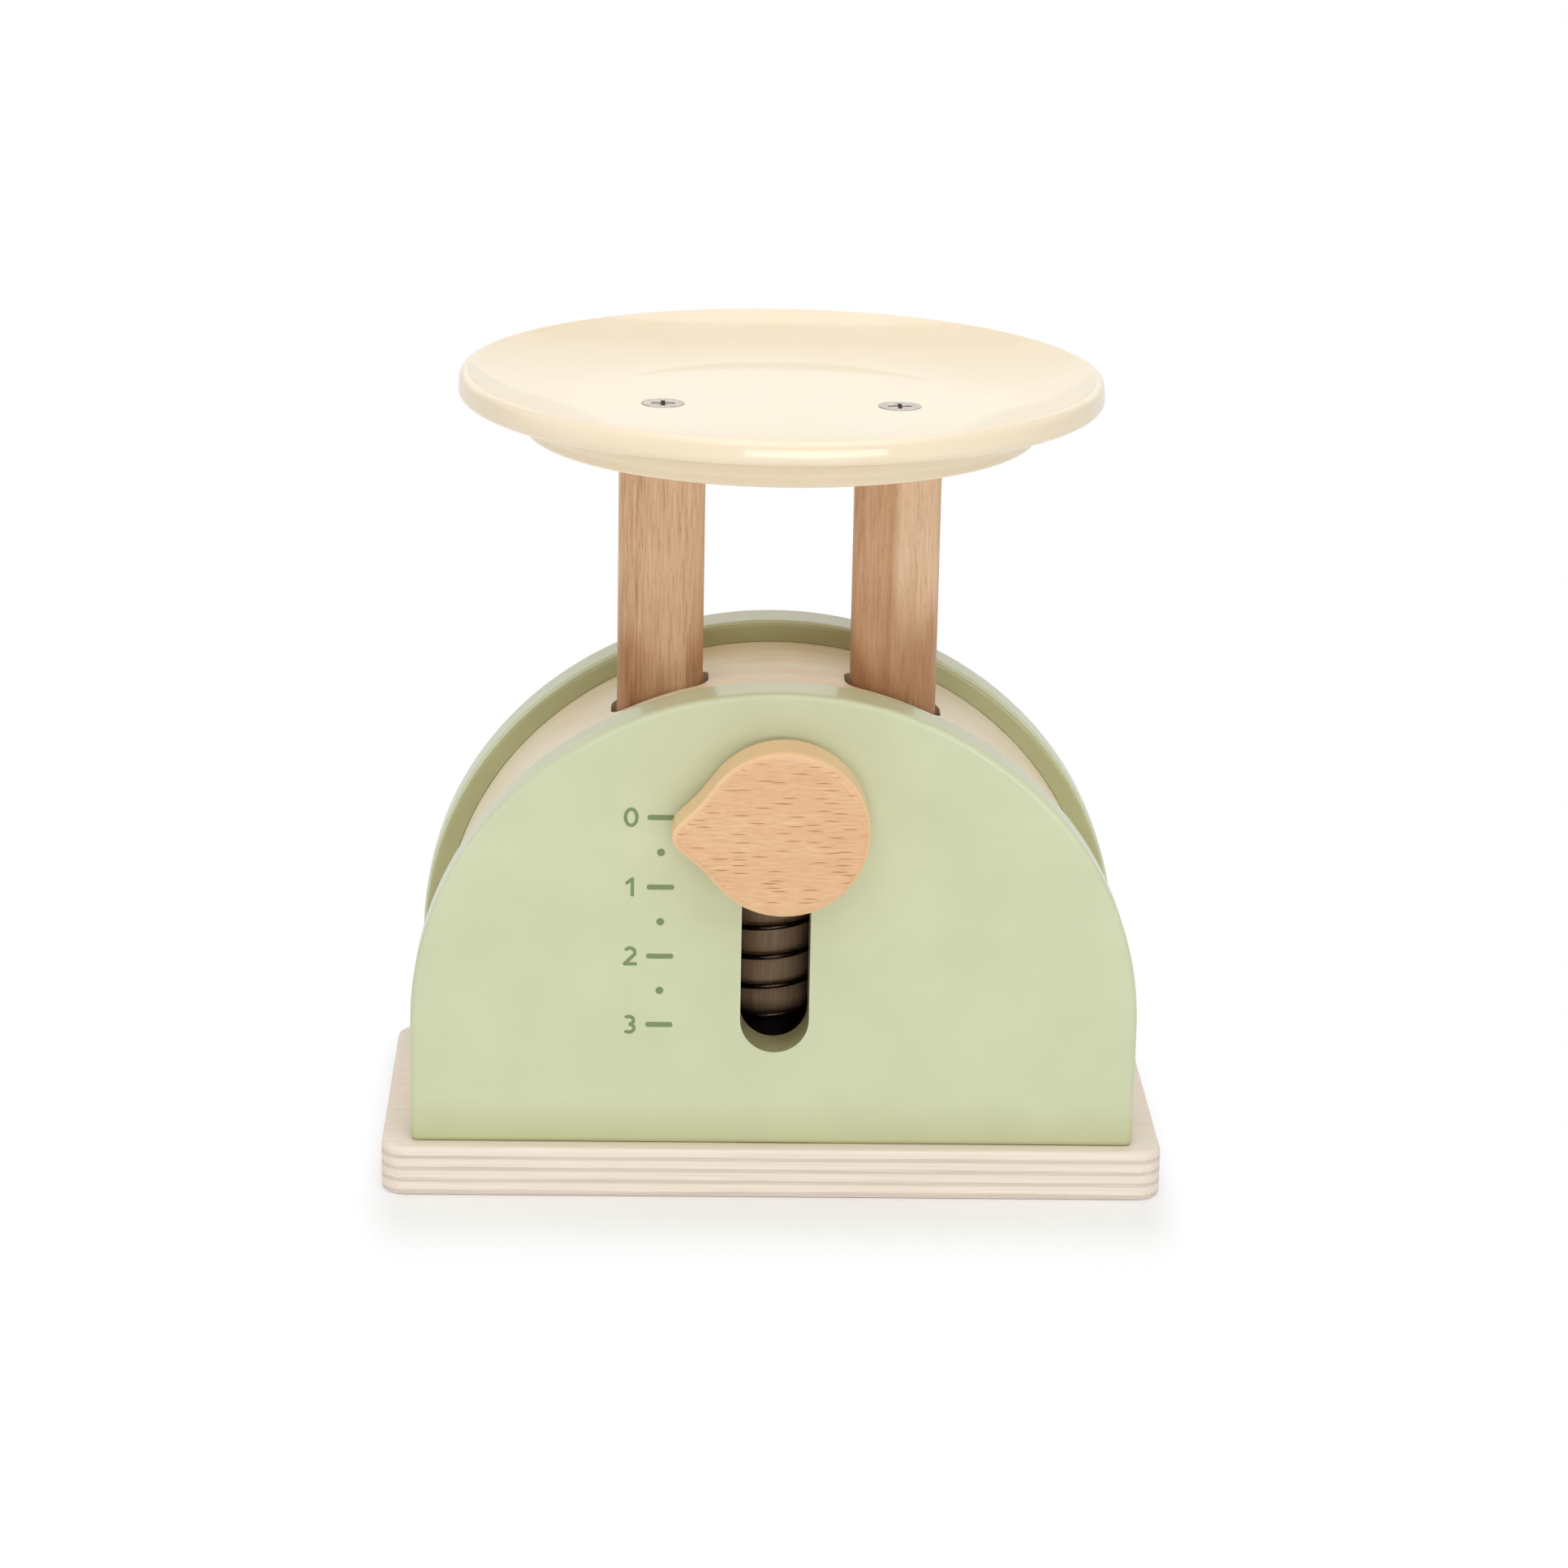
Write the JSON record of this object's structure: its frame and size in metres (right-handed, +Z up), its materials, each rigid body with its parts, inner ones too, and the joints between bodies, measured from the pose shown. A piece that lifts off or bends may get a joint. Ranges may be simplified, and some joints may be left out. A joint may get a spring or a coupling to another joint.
{
  "type": "toy kitchen scale",
  "caption": "Wooden toy kitchen scale: a turned dish on flat posts presses a spring inside an arched green housing, and a pointer knob follows a slot beside the marks.",
  "frame": {"origin": "middle of the base's underside", "axes": "+X to the right seen from the front, +Y to the back, +Z up; the slot and the pointer face -Y"},
  "size_m": [0.16, 0.131, 0.1651],
  "materials": {
    "birch_plywood": "clear matt varnish, plies showing on the edges",
    "bent_plywood": "clear satin varnish on bent plywood",
    "green_paint": "pale green gloss lacquer",
    "cream_paint": "cream gloss lacquer",
    "beech": "bare fine-sanded beech",
    "knob_beech": "clear satin varnish on beech",
    "screw_steel": "zinc plated",
    "spring_steel": "dark oiled spring wire"
  },
  "bodies": {
    "housing": {"base_plate": "birch_plywood", "front_panel": "green_paint", "rear_panel": "green_paint", "arch_cover": "bent_plywood", "guide_dowel": "beech", "guide_screw": "screw_steel", "front_left_panel_screw": "screw_steel", "front_right_panel_screw": "screw_steel", "rear_left_panel_screw": "screw_steel", "rear_right_panel_screw": "screw_steel", "return_spring": "spring_steel"},
    "carriage": {"dish": "cream_paint", "left_post": "beech", "right_post": "beech", "crosshead": "beech", "left_dish_screw": "screw_steel", "right_dish_screw": "screw_steel", "left_crosshead_screw": "screw_steel", "right_crosshead_screw": "screw_steel", "pointer_stem": "beech", "pointer_knob": "knob_beech"}
  },
  "joints": [
    {"name": "dish_press", "type": "slide", "parent": "housing", "child": "carriage", "axis": [0, 0, -1], "range_m": [0, 0.0437], "stiffness_N_per_m": 150, "springref_m": -0.02, "deforming": ["return_spring"]}
  ]
}
